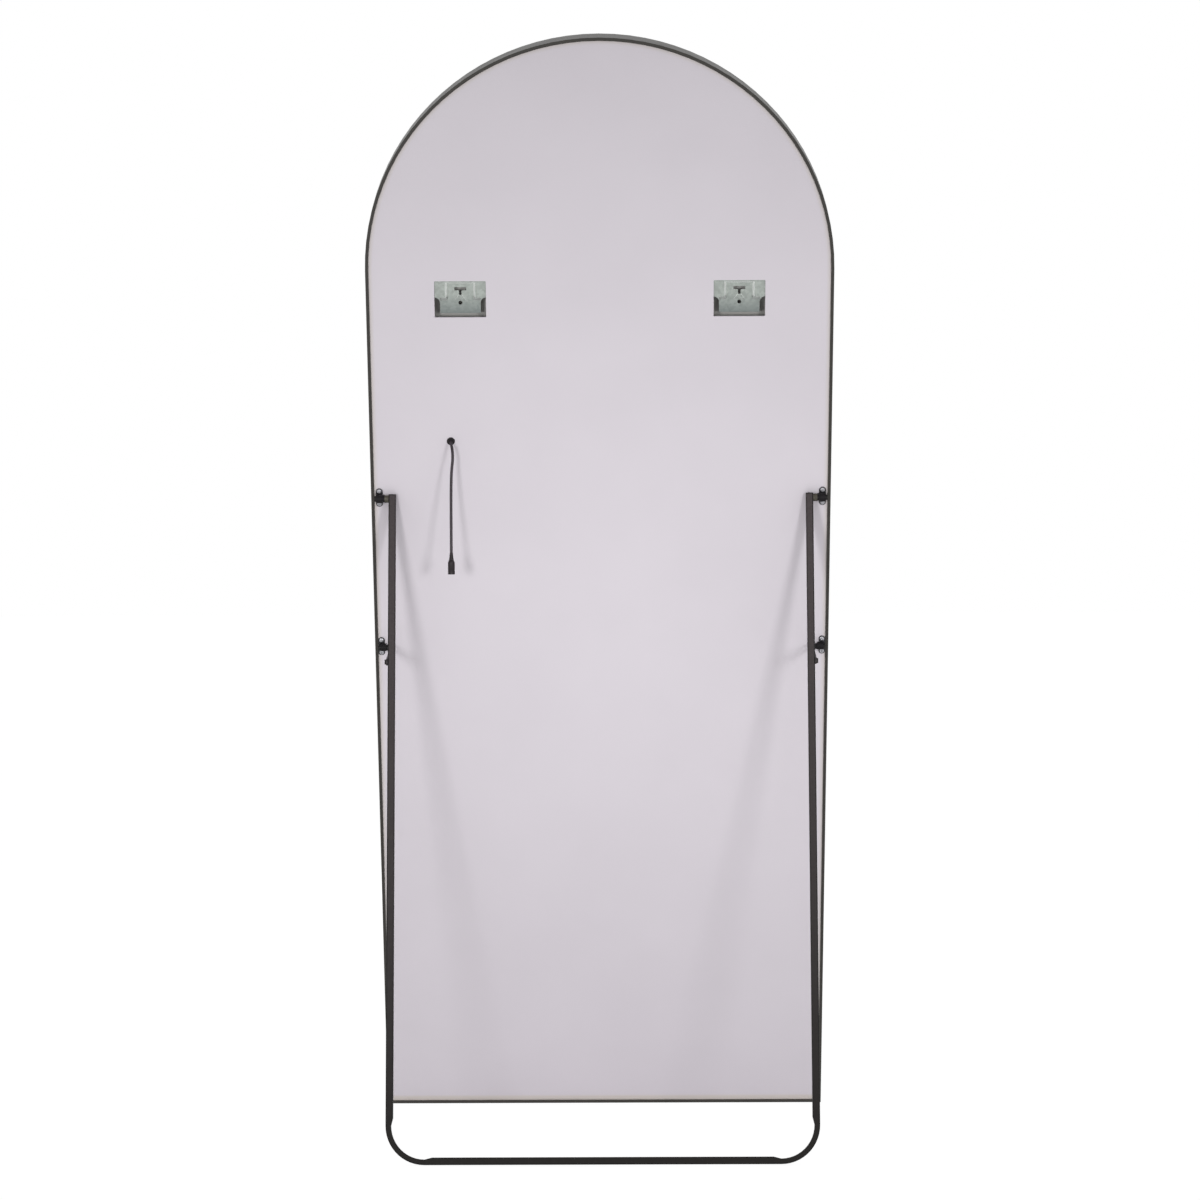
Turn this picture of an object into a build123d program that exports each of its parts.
from build123d import *
import os
from math import atan2, cos, degrees, radians, sin, tan

# Arched floor mirror with an edge light and a fold-flat stand, standing open on a floor.
# Millimetres, +Z up, the glass looks towards -Y, the stand is on the +Y side.
# The mirror is drawn upright and then leaned back: X runs across it, Y runs from the
# front of the frame to its back, and Z runs up along the glass.
# Left and right are those of somebody who stands in front of the glass.

# Overall sizes and the open pose
frame_width = 725.0
frame_height = 1800.0
frame_depth = 33.0
lean_angle = 17.0
stand_opening = 28.0

# Frame extrusion
wall = 1.6
back_lip_width = 5.0
back_lip_thickness = 2.5
panel_flange_width = 24.0
panel_flange_thickness = 1.5
glass_ledge_width = 9.0
glass_ledge_thickness = 1.6
outer_edge_radius = 1.0

# Glass, tape and back panel
glass_thickness = 4.0
glass_setback = 0.6
glass_gap = 0.8
glass_edge_radius = 0.6
tape_thickness = 1.0
tape_setback = 0.6
panel_thickness = 3.0
panel_gap = 0.6

# Light strip on the inside of the wall
strip_thickness = 1.2
strip_width = 10.0
strip_setback = 10.0
strip_start_height = 60.0

# Corner brackets inside the two lower corners
corner_leg = 40.0
corner_sheet = 2.0
corner_width = 14.0
corner_setback = 9.0
corner_screw_near = 14.0
corner_screw_far = 30.0
corner_screw_diameter = 3.0
corner_screw_head = 6.0
corner_screw_head_height = 1.8
corner_screw_bite = 1.2

# Hanger plates and the rail that carries them
hanger_side_gap = 146.2
hanger_height = 1391.5
cutout_width = 80.0
cutout_height = 58.0
cutout_radius = 1.5
hanger_sheet = 1.5
hanger_side_overlap = 8.0
hanger_top_overlap = 26.0
hanger_wing_drop = 27.0
hanger_pan_width = 50.0
hanger_pan_depth = 6.0
hanger_pan_slope = 3.0
hanger_pan_margin = 1.5
hanger_tongue_width = 63.0
hanger_tongue_gap = 4.5
hanger_neck_rise = 7.0
hanger_shoulder_drop = 6.0
hanger_shoulder_radius = 8.5
slot_width = 18.3
slot_height = 5.2
slot_drop = 14.6
neck_width = 4.0
neck_length = 6.0
ramp_height = 1.2
ramp_length = 9.0
ramp_top_width = 5.0
ramp_bottom_width = 18.0
hanger_hole_diameter = 6.3
hanger_hole_drop = 36.8
rail_thickness = 2.0
rail_height = 22.0
rail_end_gap = 1.5
rail_screw_inset = 13.0
rivet_diameter = 4.0
rivet_head = 7.0
rivet_head_height = 1.5
rivet_pitch = 30.0

# Small screws, all of one kind
screw_diameter = 3.5
screw_head = 6.5
screw_head_height = 2.0
screw_length = 9.0
rail_screw_length = 3.3
hole_clearance = 0.2

# Hinge and stay brackets on the back panel
hinge_height = 1069.0
stay_height = 818.5
pivot_standoff = 8.5
plate_thickness = 2.0
plate_length = 30.0
plate_width = 11.0
stay_plate_width = 10.0
plate_screw_offset = 10.4
hinge_plate_inset = 12.9
stay_plate_inset = 10.3
block_outer_inset = 8.5
hinge_block_radius = 6.75
hinge_ear_radius = 5.2
hinge_ear_length = 3.3
block_inner_inset = 18.2
stay_block_radius = 5.2
stay_boss_radius = 4.5
running_gap = 0.3

# Stand tube
stand_side_gap = 28.1
tube_side = 11.5
tube_wall = 1.2
tube_corner = 1.8
bend_radius = 54.2
bend_dent = 3.0
dent_run = 12.0
leg_top_over = 6.75
cap_thickness = 1.5
plug_depth = 1.2
plug_clearance = 0.1

# Pivots, spacers and nuts
hinge_bolt_diameter = 5.0
hinge_bolt_head = 9.0
hinge_bolt_head_height = 2.7
hinge_bolt_reach = 8.0
spacer_diameter = 12.0
rivet_nut_diameter = 7.8
rivet_nut_length = 8.4
pivot_clearance = 0.1
stay_pin_diameter = 4.0
stay_pin_head = 8.0
stay_pin_head_height = 2.4
stay_pin_end = 6.8
stay_pin_end_height = 1.3

# Stays
stay_bolt_reach = 259.0
stay_width = 11.0
stay_sheet = 2.3
stay_slot_clearance = 0.3
stay_slot_start = 8.5
stay_bolt_head = 8.0
stay_bolt_head_height = 2.4

# Lead, grommet and socket
grommet_side_gap = 127.5
grommet_height = 1161.5
grommet_hole = 9.0
grommet_body = 8.6
grommet_flange = 12.7
grommet_flange_thickness = 1.5
lead_diameter = 4.5
lead_clearance = 0.15
relief_length = 11.5
relief_top_diameter = 5.0
relief_bottom_diameter = 7.4
socket_shoulder = 3.6
socket_length = 22.6
socket_diameter = 10.8
socket_edge_radius = 0.6
socket_bore = 5.7
socket_bore_depth = 9.5
socket_pin_diameter = 2.1
socket_pin_tip_gap = 1.0

# Touch switch stuck to the back of the glass
module_width = 36.0
module_height = 60.0
module_thickness = 11.0
module_radius = 3.0

# Levels from the front of the frame, and other places worked out from the sizes
half_width = frame_width / 2
spring_height = frame_height - half_width
glass_back = glass_setback + glass_thickness
ledge_front = glass_back + tape_thickness
ledge_back = ledge_front + glass_ledge_thickness
panel_back = frame_depth - back_lip_thickness
panel_front = panel_back - panel_thickness
flange_front = panel_front - panel_flange_thickness
plate_back = panel_back + plate_thickness
pivot_level = panel_back + pivot_standoff
pan_floor = panel_front - hanger_pan_depth
lean = radians(lean_angle)
leg_lean = radians(stand_opening - lean_angle)
leg_outer = half_width - stand_side_gap
hanger_x = half_width - hanger_side_gap
grommet_x = half_width - grommet_side_gap
hinge_block_inner = half_width - block_inner_inset - hinge_ear_length
stay_plane = leg_outer + running_gap
cutout_top = hanger_height + cutout_height / 2


def slab(sketch, front, back):
    """Extrudes a sketch, drawn as seen with X across and Z up, between two depths."""
    return extrude(Plane.XZ.offset(-back) * sketch, amount=back - front)


def arch(inset):
    """The outline of the frame, moved inwards: straight sides under a half circle."""
    half = half_width - inset
    straight = spring_height - inset
    return Pos(0, spring_height) * Circle(half) + Pos(0, inset + straight / 2) * Rectangle(2 * half, straight)


def rod_y(x, height, diameter, front, back):
    """A round bar square to the glass."""
    return slab(Pos(x, height) * Circle(diameter / 2), front, back)


def rod_x(side, inner, outer, depth, height, radius):
    """A round bar across the mirror on one side, between two distances from the middle."""
    start = inner if side > 0 else -outer
    return Pos(start, depth, height) * extrude(Plane.YZ * Circle(radius), amount=outer - inner)


def panel_screw(x, height, seat, length):
    """A pan head screw that goes in from the back; its head sits at the depth called seat."""
    head = rod_y(x, height, screw_head, seat, seat + screw_head_height)
    head = fillet(head.edges().group_by(Axis.Y)[-1], screw_head_height * 0.45)
    return head + rod_y(x, height, screw_diameter, seat - length, seat)


def bracket_screw_places():
    """Across and up places of the eight bracket screws."""
    places = []
    for side in (-1, 1):
        for inset, height in ((hinge_plate_inset, hinge_height), (stay_plate_inset, stay_height)):
            for step in (-plate_screw_offset, plate_screw_offset):
                places.append((side * (half_width - inset), height + step))
    return places


def rail_screw_places():
    """Across and up places of the four screws that hold the hanger rail to the frame."""
    middle = cutout_top + rail_height / 2 + 3.0
    across = half_width - rail_screw_inset
    return [(s * across, middle + step) for s in (-1, 1) for step in (-6.0, 6.0)]


def corner_screw_places():
    """Side, distance along the leg and which leg, for the corner bracket screws."""
    return [(s, run, leg) for s in (-1, 1) for leg in ("side", "base") for run in (corner_screw_near, corner_screw_far)]


def corner_rod(side, run, leg, radius, start, end):
    """A bar square to one leg of a corner bracket, between two depths in from the outside."""
    depth = corner_setback + corner_width / 2
    if leg == "side":
        return rod_x(side, half_width - end, half_width - start, depth, run, radius)
    return Pos(side * (half_width - run), depth, start) * extrude(Circle(radius), amount=end - start)


def frame_ring():
    """The whole frame extrusion round the outline, before it is cut at the mitres."""
    body = slab(arch(0), 0, frame_depth)
    body = fillet(body.edges().group_by(Axis.Y)[-1] + body.edges().group_by(Axis.Y)[0], outer_edge_radius)
    steps = (
        (wall, 0, ledge_front),
        (glass_ledge_width, ledge_front, ledge_back),
        (wall, ledge_back, flange_front),
        (panel_flange_width, flange_front, panel_front),
        (wall, panel_front, panel_back),
        (back_lip_width, panel_back, frame_depth),
    )
    for inset, front, back in steps:
        body -= slab(arch(inset), front, back)
    for x, height in bracket_screw_places() + rail_screw_places():
        body -= rod_y(x, height, screw_diameter + hole_clearance, flange_front, panel_front)
    for side, run, leg in corner_screw_places():
        radius = (corner_screw_diameter + hole_clearance) / 2
        body -= corner_rod(side, run, leg, radius, wall - corner_screw_bite - hole_clearance / 2, wall)
    return body


def mitre_prism():
    """The room below the two 45 degree cuts in the lower corners."""
    rise = panel_flange_width * 2
    outside = wall * 2
    corners = [
        (-half_width - outside, -outside),
        (half_width + outside, -outside),
        (half_width - rise, rise),
        (-half_width + rise, rise),
    ]
    return slab(make_face(Polyline(corners, close=True)), -outside, frame_depth + outside)


def corner_brackets():
    parts = []
    for side in (-1, 1):
        inner = half_width - wall
        upright = Pos(side * (inner - corner_sheet / 2), wall + corner_leg / 2) * Rectangle(corner_sheet, corner_leg)
        base = Pos(side * (inner - corner_leg / 2), wall + corner_sheet / 2) * Rectangle(corner_leg, corner_sheet)
        shape = slab(upright + base, corner_setback, corner_setback + corner_width)
        for where, run, leg in corner_screw_places():
            if where == side:
                radius = (corner_screw_diameter + hole_clearance) / 2
                shape -= corner_rod(side, run, leg, radius, wall, wall + corner_sheet)
        parts.append(shape)
    return parts


def corner_screws():
    parts = []
    seat = wall + corner_sheet
    for side, run, leg in corner_screw_places():
        shank = corner_rod(side, run, leg, corner_screw_diameter / 2, wall - corner_screw_bite, seat)
        head = corner_rod(side, run, leg, corner_screw_head / 2, seat, seat + corner_screw_head_height)
        parts.append(shank + head)
    return parts


def mirror_glass():
    sheet = slab(arch(wall + glass_gap), glass_setback, glass_back)
    return fillet(sheet.edges().group_by(Axis.Y)[0], glass_edge_radius)


def glass_tape():
    outline = arch(wall + glass_gap + tape_setback) - arch(glass_ledge_width)
    return slab(outline, glass_back, ledge_front)


def light_strip():
    band = slab(arch(wall) - arch(wall + strip_thickness), strip_setback, strip_setback + strip_width)
    keep = Pos(0, strip_start_height + frame_height / 2) * Rectangle(2 * frame_width, frame_height)
    return band & slab(keep, 0, frame_depth)


def back_panel():
    panel = slab(arch(wall + panel_gap), panel_front, panel_back)
    for side in (-1, 1):
        window = Pos(side * hanger_x, hanger_height) * RectangleRounded(cutout_width, cutout_height, cutout_radius)
        panel -= slab(window, panel_front, panel_back)
    for x, height in bracket_screw_places():
        panel -= rod_y(x, height, screw_diameter + hole_clearance, panel_front, panel_back)
    return panel - rod_y(grommet_x, grommet_height, grommet_hole, panel_front, panel_back)


def rivet_places(x):
    return [(x + step, cutout_top + rail_height / 2 + 3.0) for step in (-rivet_pitch, 0, rivet_pitch)]


def pan_loft(x, top, bottom, shrink):
    """The pressed pan, or its inside: a block that narrows from the sheet down to its floor."""
    wide = hanger_pan_width - 2 * shrink
    narrow = wide - 2 * hanger_pan_slope
    rim = panel_front - hanger_sheet + (hanger_sheet if shrink else 0)
    floor = pan_floor if shrink else pan_floor - hanger_sheet
    middle = (top + bottom) / 2
    height = top - bottom - 2 * shrink
    first = Plane.XZ.offset(-rim) * Pos(x, middle) * Rectangle(wide, height)
    last = Plane.XZ.offset(-floor) * Pos(x, middle) * Rectangle(narrow, height - 2 * hanger_pan_slope)
    return loft([first.faces()[0], last.faces()[0]])


def hanger_shoulder(x, side, inner, outer, low, high):
    """The slope from a wing down to the tongue, and the round web in the corner beside it."""
    wing_back, floor_back = panel_front, pan_floor
    slope = make_face(Polyline([
        (floor_back - hanger_sheet, low),
        (floor_back, low),
        (wing_back, high),
        (wing_back - hanger_sheet, high),
    ], close=True))
    start = x + inner if side > 0 else x - outer
    ramp = Pos(start, 0, 0) * extrude(Plane.YZ * slope, amount=outer - inner)
    radius = hanger_shoulder_radius
    corner = Pos(x + side * (outer + radius / 2), high - radius / 2) * Rectangle(radius, radius)
    corner -= Pos(x + side * (outer + radius), high - radius) * Circle(radius)
    return ramp + slab(corner, panel_front - hanger_sheet, panel_front)


def hanger(side):
    """Pressed steel hanger: wings under the panel, a sunk pan, a tongue, a T slot and a hole."""
    x = side * hanger_x
    wing_bottom = cutout_top - hanger_wing_drop
    sheet_top = cutout_top + hanger_top_overlap
    wing_width = cutout_width + 2 * hanger_side_overlap
    sheet = Pos(x, (sheet_top + wing_bottom) / 2) * Rectangle(wing_width, sheet_top - wing_bottom)
    body = slab(sheet, panel_front - hanger_sheet, panel_front)
    pan_top = cutout_top - hanger_pan_margin
    pan_bottom = wing_bottom - hanger_pan_slope - hanger_sheet
    body += pan_loft(x, pan_top, pan_bottom, 0)
    body -= pan_loft(x, pan_top, pan_bottom, hanger_sheet)
    below = Pos(x, wing_bottom - hanger_pan_width) * Rectangle(wing_width * 2, hanger_pan_width * 2)
    body -= slab(below, 0, frame_depth)
    tongue_bottom = hanger_height - cutout_height / 2 + hanger_tongue_gap
    tongue_top = wing_bottom - hanger_shoulder_drop
    half = hanger_tongue_width / 2
    narrow = hanger_pan_width / 2 - hanger_pan_slope - hanger_sheet
    tongue = Pos(x, (tongue_bottom + tongue_top) / 2) * Rectangle(2 * half, tongue_top - tongue_bottom)
    neck_height = hanger_shoulder_drop + hanger_neck_rise
    tongue += Pos(x, tongue_top + neck_height / 2) * Rectangle(2 * narrow, neck_height)
    body += slab(tongue, pan_floor - hanger_sheet, pan_floor)
    for side_sign in (-1, 1):
        body += hanger_shoulder(x, side_sign, narrow, half, tongue_top, wing_bottom)
    slot_centre = cutout_top - slot_drop
    neck_top = slot_centre - slot_height / 2
    neck_bottom = neck_top - neck_length
    ramp = make_face(Polyline([
        (x - ramp_top_width / 2, neck_bottom),
        (x + ramp_top_width / 2, neck_bottom),
        (x + ramp_bottom_width / 2, neck_bottom - ramp_length),
        (x - ramp_bottom_width / 2, neck_bottom - ramp_length),
    ], close=True))
    raised = slab(ramp, pan_floor, pan_floor + ramp_height)
    raised = chamfer(raised.edges().group_by(Axis.Y)[-1], ramp_height * 0.8)
    body += raised
    cuts = Pos(x, slot_centre) * Rectangle(slot_width, slot_height)
    cuts += Pos(x, neck_top - neck_length / 2) * Rectangle(neck_width, neck_length + slot_height / 2)
    cuts += Pos(x, cutout_top - hanger_hole_drop) * Circle(hanger_hole_diameter / 2)
    body -= slab(cuts, pan_floor - hanger_sheet, pan_floor + ramp_height)
    for rx, rz in rivet_places(x):
        body -= rod_y(rx, rz, rivet_diameter + hole_clearance, panel_front - hanger_sheet, panel_front)
    return body


def hanger_rail():
    """A steel strip from side to side that carries both hangers and is screwed to the frame."""
    middle = cutout_top + rail_height / 2 + 3.0
    length = frame_width - 2 * (wall + rail_end_gap)
    back = flange_front
    rail = slab(Pos(0, middle) * Rectangle(length, rail_height), back - rail_thickness, back)
    for x, height in rail_screw_places():
        rail -= rod_y(x, height, screw_diameter + hole_clearance, back - rail_thickness, back)
    for side in (-1, 1):
        for x, height in rivet_places(side * hanger_x):
            rail -= rod_y(x, height, rivet_diameter + hole_clearance, back - rail_thickness, back)
    return rail


def hanger_rivets():
    parts = []
    seat = flange_front - rail_thickness
    for side in (-1, 1):
        for x, height in rivet_places(side * hanger_x):
            shank = rod_y(x, height, rivet_diameter, seat, panel_front)
            parts.append(shank + rod_y(x, height, rivet_head, seat - rivet_head_height, seat))
    return parts


def rail_screws():
    parts = []
    seat = flange_front - rail_thickness
    for x, height in rail_screw_places():
        head = rod_y(x, height, screw_head, seat - screw_head_height, seat)
        parts.append(head + rod_y(x, height, screw_diameter, seat, seat + rail_screw_length))
    return parts


def touch_module():
    outline = Pos(grommet_x, grommet_height) * RectangleRounded(module_width, module_height, module_radius)
    return slab(outline, glass_back, glass_back + module_thickness)


def cable_grommet():
    """A rubber ring in the panel: a flange on each face and a round hole for the lead."""
    ring = rod_y(grommet_x, grommet_height, grommet_body, panel_front, panel_back)
    inner_face = panel_front - grommet_flange_thickness
    outer = rod_y(grommet_x, grommet_height, grommet_flange, panel_back, panel_back + grommet_flange_thickness)
    outer = fillet(outer.edges().group_by(Axis.Y)[-1], grommet_flange_thickness * 0.6)
    inner = rod_y(grommet_x, grommet_height, grommet_flange, inner_face, panel_front)
    bore = lead_diameter + 2 * lead_clearance
    return ring + outer + inner - rod_y(grommet_x, grommet_height, bore, inner_face, panel_back + grommet_flange_thickness)


def inner_lead():
    """The short stretch of lead inside, from the switch to the grommet."""
    start = glass_back + module_thickness
    return rod_y(grommet_x, grommet_height, lead_diameter, start, panel_front - grommet_flange_thickness)


def stadium_plate(side, inset, height, width):
    x = side * (half_width - inset)
    outline = Pos(x, height) * Rot(0, 0, 90) * SlotOverall(plate_length, width)
    plate = slab(outline, panel_back, plate_back)
    for step in (-plate_screw_offset, plate_screw_offset):
        plate -= rod_y(x, height + step, screw_diameter + hole_clearance, panel_back, plate_back)
    return plate


def pivot_block(side, height, inner, outer, radius, base):
    """A block with a round back end about the pivot, standing on the depth called base."""
    start = inner if side > 0 else -outer
    run = pivot_level - base
    profile = Pos(pivot_level, height) * Circle(radius)
    profile += Pos(base + run / 2, height) * Rectangle(run, 2 * radius)
    profile -= Pos(base - radius, height) * Rectangle(2 * radius, 3 * radius)
    return Pos(start, 0, 0) * extrude(Plane.YZ * profile, amount=outer - inner)


def hinge_block(side):
    outer = half_width - block_outer_inset
    inner = half_width - block_inner_inset
    body = pivot_block(side, hinge_height, inner, outer, hinge_block_radius, plate_back)
    ear_base = plate_back + plate_thickness / 2
    body += pivot_block(side, hinge_height, hinge_block_inner, inner, hinge_ear_radius, ear_base)
    bore = hinge_bolt_diameter / 2 + pivot_clearance
    return body - rod_x(side, hinge_block_inner, outer, pivot_level, hinge_height, bore)


def stay_block(side):
    outer = half_width - block_outer_inset
    inner = half_width - block_inner_inset
    boss_end = stay_plane + stay_sheet + running_gap
    body = pivot_block(side, stay_height, inner, outer, stay_block_radius, plate_back)
    body += rod_x(side, boss_end, inner, pivot_level, stay_height, stay_boss_radius)
    bore = stay_pin_diameter / 2 + pivot_clearance
    return body - rod_x(side, boss_end, outer, pivot_level, stay_height, bore)


def stay_pivot_pin(side):
    """Pin with a head outside the block and a sunk end inside the stay's sheet."""
    outer = half_width - block_outer_inset
    end = stay_plane + pivot_clearance
    pin = rod_x(side, end, outer, pivot_level, stay_height, stay_pin_diameter / 2)
    pin += rod_x(side, outer, outer + stay_pin_head_height, pivot_level, stay_height, stay_pin_head / 2)
    cone = Cone(stay_pin_end / 2, stay_pin_diameter / 2, stay_pin_end_height, align=(Align.CENTER, Align.CENTER, Align.MIN))
    turn = Rot(0, 90, 0) if side > 0 else Rot(0, -90, 0)
    return pin + Pos(side * end, pivot_level, stay_height) * turn * cone


def tube_profile(inset, dent):
    """The square tube's section: first number across the bend, second square to it."""
    side = tube_side - 2 * inset
    return RectangleRounded(side - dent, side, tube_corner - inset)


def half_tube(inset, leg_length, top):
    """One leg, its dented bend and half of the floor bar, round the right hand side."""
    centre = leg_outer - tube_side / 2
    bend_x = centre - bend_radius
    bend_z = -leg_length + bend_radius
    shift = bend_dent / 2
    square = tube_profile(inset, 0)
    flat = tube_profile(inset, bend_dent)
    start = bend_z + dent_run
    leg = Pos(centre, 0, start) * extrude(square, amount=top - start)
    high = (Pos(centre, 0, start) * square).faces()[0]
    low = (Pos(centre + shift, 0, bend_z) * flat).faces()[0]
    bend = revolve(low, axis=Axis((bend_x, 0, bend_z), (0, 1, 0)), revolution_arc=90)
    bar_face = Plane(origin=(bend_x, 0, -leg_length - shift), x_dir=(0, 0, 1), z_dir=(-1, 0, 0)) * flat
    bar_square = Plane(origin=(bend_x - dent_run, 0, -leg_length), x_dir=(0, 0, 1), z_dir=(-1, 0, 0)) * square
    bar = extrude(bar_square, amount=bend_x - dent_run)
    return leg + loft([high, low]) + bend + loft([bar_face.faces()[0], bar_square.faces()[0]]) + bar


def stand_tube(leg_length):
    """The U of square tube, with its open leg tops and the holes for the rivet nuts."""
    top = leg_top_over - cap_thickness
    shell = half_tube(0, leg_length, top)
    shell += mirror(shell, about=Plane.YZ)
    hollow = half_tube(tube_wall, leg_length, top)
    hollow += mirror(hollow, about=Plane.YZ)
    shell -= hollow
    for side in (-1, 1):
        for drop in (0, stay_bolt_reach):
            hole = (rivet_nut_diameter + hole_clearance) / 2
            shell -= rod_x(side, leg_outer - tube_wall * 1.5, leg_outer, 0, -drop, hole)
    return shell


def stand_end_plugs():
    parts = []
    inner = tube_side - 2 * (tube_wall + plug_clearance)
    for side in (-1, 1):
        x = side * (leg_outer - tube_side / 2)
        cap = Pos(x, 0, leg_top_over - cap_thickness) * extrude(tube_profile(0, 0), amount=cap_thickness)
        cap = fillet(cap.edges().group_by(Axis.Z)[-1], cap_thickness * 0.4)
        stub = RectangleRounded(inner, inner, tube_corner - tube_wall)
        parts.append(cap + Pos(x, 0, leg_top_over - cap_thickness) * extrude(stub, amount=-plug_depth))
    return parts


def leg_rivet_nuts():
    parts = []
    for side in (-1, 1):
        for drop, bolt in ((0, hinge_bolt_diameter), (stay_bolt_reach, stay_pin_diameter)):
            nut = rod_x(side, leg_outer - rivet_nut_length, leg_outer, 0, -drop, rivet_nut_diameter / 2)
            bore = (bolt + pivot_clearance) / 2
            parts.append(nut - rod_x(side, leg_outer - rivet_nut_length, leg_outer, 0, -drop, bore))
    return parts


def hinge_bolts():
    parts = []
    head_seat = half_width - block_outer_inset + running_gap
    for side in (-1, 1):
        shank = rod_x(side, leg_outer - hinge_bolt_reach, head_seat, 0, 0, hinge_bolt_diameter / 2)
        head = rod_x(side, head_seat, head_seat + hinge_bolt_head_height, 0, 0, hinge_bolt_head / 2)
        parts.append(shank + head)
    return parts


def hinge_spacers():
    parts = []
    outer = hinge_block_inner - running_gap
    for side in (-1, 1):
        ring = rod_x(side, leg_outer, outer, 0, 0, spacer_diameter / 2)
        parts.append(ring - rod_x(side, leg_outer, outer, 0, 0, hinge_bolt_diameter / 2 + hole_clearance / 2))
    return parts


def stay(side, length):
    """A slotted flat link that lies along +Y from its bracket pivot at the origin."""
    reach = length + stay_width
    outline = Pos(length / 2, 0) * SlotOverall(reach, stay_width)
    slot_radius = stay_pin_diameter / 2 + stay_slot_clearance
    slot_run = length - stay_slot_start
    outline -= Pos(stay_slot_start + slot_run / 2, 0) * SlotOverall(slot_run + 2 * slot_radius, 2 * slot_radius)
    outline -= Circle(stay_pin_diameter / 2 + pivot_clearance)
    start = stay_plane if side > 0 else -stay_plane - stay_sheet
    link = Pos(start, 0, 0) * extrude(Plane.YZ * outline, amount=stay_sheet)
    widen = pivot_clearance * 1.5
    sink = Cone(
        stay_pin_end / 2 + widen + pivot_clearance,
        stay_pin_diameter / 2 + widen,
        stay_pin_end_height + pivot_clearance,
        align=(Align.CENTER, Align.CENTER, Align.MIN),
    )
    turn = Rot(0, 90, 0) if side > 0 else Rot(0, -90, 0)
    return link - Pos(side * stay_plane, 0, 0) * turn * sink


def stay_bolt(side, length):
    outer = stay_plane + stay_sheet
    shank = rod_x(side, stay_plane, outer, length, 0, stay_pin_diameter / 2)
    return shank + rod_x(side, outer, outer + stay_bolt_head_height, length, 0, stay_bolt_head / 2)


# Where the upright mirror goes when it leans on its lower back edge, before centring
edge_lift = frame_depth * sin(lean) - outer_edge_radius * (sin(lean) + cos(lean) - 1)


def leaned(depth, height):
    """Back and up place of a point of the upright mirror once it leans."""
    return (
        depth * cos(lean) + height * sin(lean),
        height * cos(lean) - depth * sin(lean) + edge_lift,
    )


hinge_y, hinge_z = leaned(pivot_level, hinge_height)
stay_y, stay_z = leaned(pivot_level, stay_height)
bar_half = tube_side / 2 - tube_corner
bar_centre_z = bar_half * (cos(leg_lean) + sin(leg_lean)) + tube_corner
leg_length = (hinge_z - bar_centre_z) / cos(leg_lean)
bolt_y = hinge_y + stay_bolt_reach * sin(leg_lean)
bolt_z = hinge_z - stay_bolt_reach * cos(leg_lean)
stay_angle = atan2(bolt_z - stay_z, bolt_y - stay_y)
stay_length = ((bolt_z - stay_z) ** 2 + (bolt_y - stay_y) ** 2) ** 0.5

# Route of the lead from inside the grommet down to its strain relief, as steps from its start
exit_y, exit_z = leaned(panel_front - grommet_flange_thickness, grommet_height)
first_step = 13.0
lead_steps = [
    (0, first_step * cos(lean), -first_step * sin(lean)),
    (-3.2, 8.2, -11.6),
    (-0.4, 1.6, -15.0),
    (2.2, 0.2, -17.5),
    (0.9, -0.8, -32.0),
    (0.1, -0.2, -48.0),
    (0, 0, -48.0),
]


def lead_route():
    points = [Vector(grommet_x, exit_y, exit_z)]
    for step in lead_steps:
        points.append(points[-1] + Vector(*step))
    return points


def lead_radii(points):
    radii = []
    for before, corner, after in zip(points, points[1:], points[2:]):
        turn = radians((corner - before).get_angle(after - corner))
        shorter = min((corner - before).length, (after - corner).length)
        radii.append(0.45 * shorter / tan(turn / 2))
    return radii


def lead_cord(points):
    path = FilletPolyline(*points, radius=lead_radii(points))
    start = Plane(origin=points[0], z_dir=points[1] - points[0])
    tube = sweep(start * Circle(lead_diameter / 2), path=path)
    print("lead length %.1f, volume over section times length %.4f" % (
        path.length, tube.volume / (path.length * 3.14159265 * lead_diameter ** 2 / 4)))
    return tube


def strain_relief(end):
    top, bottom = relief_top_diameter / 2, relief_bottom_diameter / 2
    cone = Cone(bottom, top, relief_length, align=(Align.CENTER, Align.CENTER, Align.MAX))
    return Pos(end.X, end.Y, end.Z) * cone


def dc_socket(end):
    """A round body under a sloping shoulder, with a blind bore for the plug."""
    outer, neck = socket_diameter / 2, relief_bottom_diameter / 2
    outline = Polyline([
        (0, 0), (neck, 0), (outer, -socket_shoulder), (outer, -socket_length), (0, -socket_length),
    ], close=True)
    body = revolve(Plane.XZ * make_face(outline), axis=Axis.Z)
    body = fillet(body.edges().group_by(Axis.Z)[0], socket_edge_radius)
    bore = Pos(0, 0, -socket_length) * Cylinder(
        socket_bore / 2, socket_bore_depth, align=(Align.CENTER, Align.CENTER, Align.MIN))
    return Pos(end.X, end.Y, end.Z - relief_length) * (body - bore)


def socket_pin(end):
    length = socket_bore_depth - socket_pin_tip_gap
    pin = Cylinder(socket_pin_diameter / 2, length, align=(Align.CENTER, Align.CENTER, Align.MAX))
    pin = fillet(pin.edges().group_by(Axis.Z)[0], socket_pin_diameter * 0.3)
    floor = end.Z - relief_length - socket_length + socket_bore_depth
    return Pos(end.X, end.Y, floor) * pin


def listed(shape):
    return shape if isinstance(shape, list) else [shape]


# Put every piece where it stands, first with the mirror's lower front corner near Y = 0
to_lean = Pos(0, 0, edge_lift) * Rot(-lean_angle, 0, 0)
to_stand = Pos(0, hinge_y, hinge_z) * Rot(stand_opening - lean_angle, 0, 0)
to_stay = Pos(0, stay_y, stay_z) * Rot(degrees(stay_angle), 0, 0)

whole_frame = frame_ring()
mitre = mitre_prism()
route = lead_route()
lead_end = route[-1]

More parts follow.
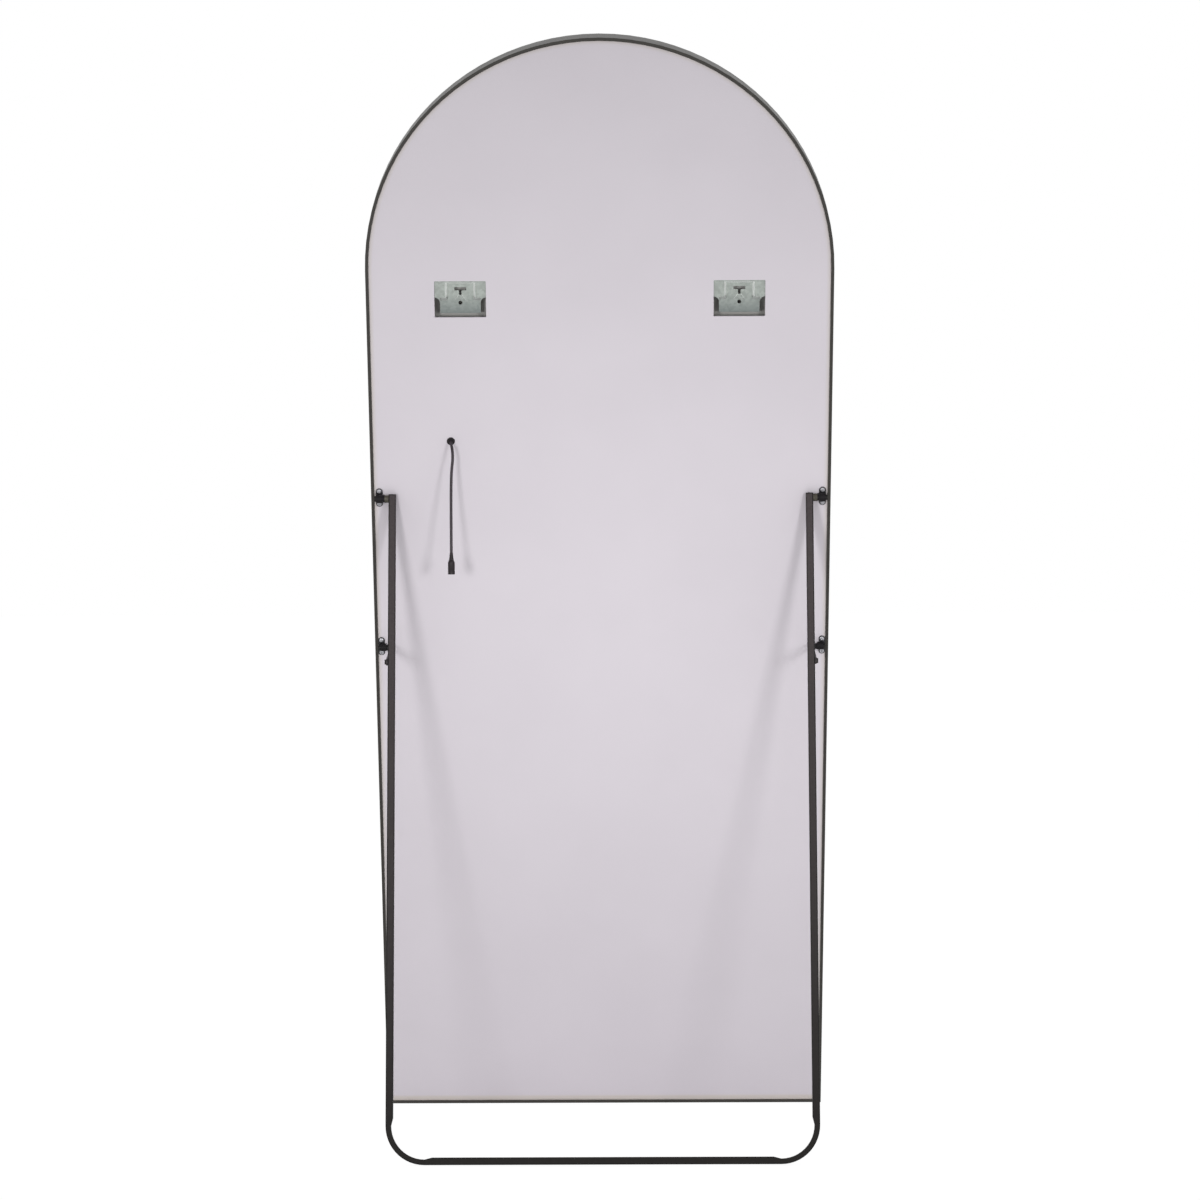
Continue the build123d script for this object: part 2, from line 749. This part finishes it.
mirror_pieces = {
    "frame_arch": whole_frame - mitre,
    "frame_bottom_rail": whole_frame & mitre,
    "corner_brackets": corner_brackets(),
    "corner_screws": corner_screws(),
    "mirror_glass": mirror_glass(),
    "glass_tape": glass_tape(),
    "light_strip": light_strip(),
    "back_panel": back_panel(),
    "hanger_left": hanger(-1),
    "hanger_right": hanger(1),
    "hanger_rail": hanger_rail(),
    "hanger_rivets": hanger_rivets(),
    "rail_screws": rail_screws(),
    "touch_module": touch_module(),
    "inner_lead": inner_lead(),
    "cable_grommet": cable_grommet(),
    "hinge_plate_left": stadium_plate(-1, hinge_plate_inset, hinge_height, plate_width),
    "hinge_plate_right": stadium_plate(1, hinge_plate_inset, hinge_height, plate_width),
    "hinge_block_left": hinge_block(-1),
    "hinge_block_right": hinge_block(1),
    "stay_plate_left": stadium_plate(-1, stay_plate_inset, stay_height, stay_plate_width),
    "stay_plate_right": stadium_plate(1, stay_plate_inset, stay_height, stay_plate_width),
    "stay_block_left": stay_block(-1),
    "stay_block_right": stay_block(1),
    "stay_pivot_pins": [stay_pivot_pin(-1), stay_pivot_pin(1)],
    "bracket_screws": [panel_screw(x, z, plate_back, screw_length) for x, z in bracket_screw_places()],
}
stand_pieces = {
    "stand_tube": stand_tube(leg_length),
    "stand_end_plugs": stand_end_plugs(),
    "leg_rivet_nuts": leg_rivet_nuts(),
    "hinge_bolts": hinge_bolts(),
    "hinge_spacers": hinge_spacers(),
}
stay_pieces = {
    "stay_left": stay(-1, stay_length),
    "stay_right": stay(1, stay_length),
    "stay_bolt_left": stay_bolt(-1, stay_length),
    "stay_bolt_right": stay_bolt(1, stay_length),
}
hanging_pieces = {
    "lead_cord": lead_cord(route),
    "lead_strain_relief": strain_relief(lead_end),
    "dc_socket": dc_socket(lead_end),
    "socket_pin": socket_pin(lead_end),
}

placed = {}
for place, pieces in (
    (to_lean, mirror_pieces),
    (to_stand, stand_pieces),
    (to_stay, stay_pieces),
    (Pos(0, 0, 0), hanging_pieces),
):
    for name, shape in pieces.items():
        placed[name] = [place * solid for item in listed(shape) for solid in item.solids()]

# The origin is on the floor, under the middle of the mirror and its stand without the lead
boxes = [solid.bounding_box() for name in placed if name not in hanging_pieces for solid in placed[name]]
middle_y = (min(box.min.Y for box in boxes) + max(box.max.Y for box in boxes)) / 2

os.makedirs("parts", exist_ok=True)
for name, solids in placed.items():
    moved = [Pos(0, -middle_y, 0) * solid for solid in solids]
    export_step(Compound(children=moved), os.path.join("parts", name + ".step"))

fold_turn = degrees(stay_angle) + 90 + lean_angle
normal = (0, cos(lean), -sin(lean))
hole_y, hole_z = leaned(pan_floor, cutout_top - hanger_hole_drop)
print("hinge pivot y %.3f z %.3f" % (hinge_y - middle_y, hinge_z))
print("stay pivot y %.3f z %.3f, stay length %.2f, fold turn %.3f" % (stay_y - middle_y, stay_z, stay_length, fold_turn))
print("leg length %.2f, middle_y %.3f, back normal %.6f %.6f" % (leg_length, middle_y, normal[1], normal[2]))
print("hanger hole y %.3f z %.3f, across %.1f" % (hole_y - middle_y, hole_z, hanger_x))
print("lead radii", ["%.1f" % radius for radius in lead_radii(route)])
print("lead points", ["%.2f %.2f %.2f" % (p.X, p.Y - middle_y, p.Z) for p in route])
print("box of all", min(b.min.X for b in boxes), max(b.max.X for b in boxes), max(b.max.Z for b in boxes))
